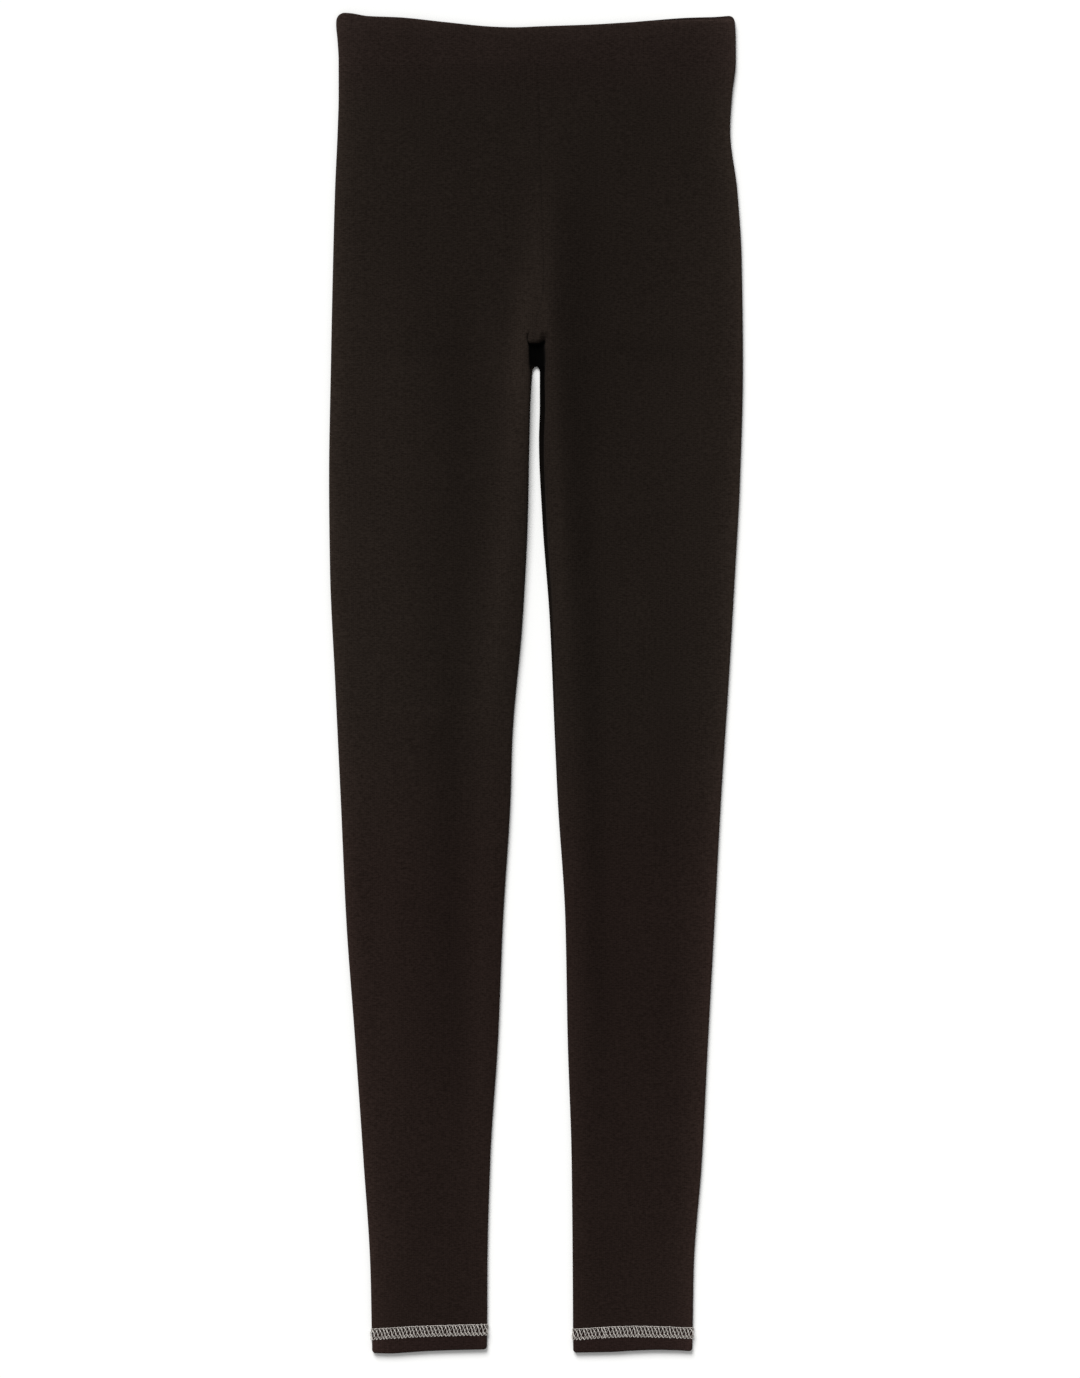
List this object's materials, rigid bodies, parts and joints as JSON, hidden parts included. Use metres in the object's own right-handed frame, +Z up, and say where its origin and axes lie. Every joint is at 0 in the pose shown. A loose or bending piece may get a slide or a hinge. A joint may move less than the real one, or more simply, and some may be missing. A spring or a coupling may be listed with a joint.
{
  "type": "leggings",
  "caption": "Plain dark jersey leggings laid flat on their back, with a wide waist casing, a centre seam and contrast-stitched doubled hems.",
  "frame": {"origin": "on the surface that the leggings lie on, under the middle of their outline", "axes": "+Z up from the surface, out of the front of the garment; +Y towards the waist; +X towards the wearer's left leg"},
  "size_m": [0.2979, 0.9641, 0.0106],
  "materials": {
    "jersey": "matte fine jersey knit",
    "waistband_jersey": "matte fine jersey knit over elastic",
    "hem_jersey": "matte fine jersey knit, doubled",
    "hem_thread": "matte white textured flatlock thread",
    "seam_thread": "matte dark polyester thread"
  },
  "bodies": {
    "root": {"leg_right": "jersey", "leg_left": "jersey", "waistband": "waistband_jersey", "hem_right": "hem_jersey", "hem_left": "hem_jersey"}
  },
  "joints": []
}
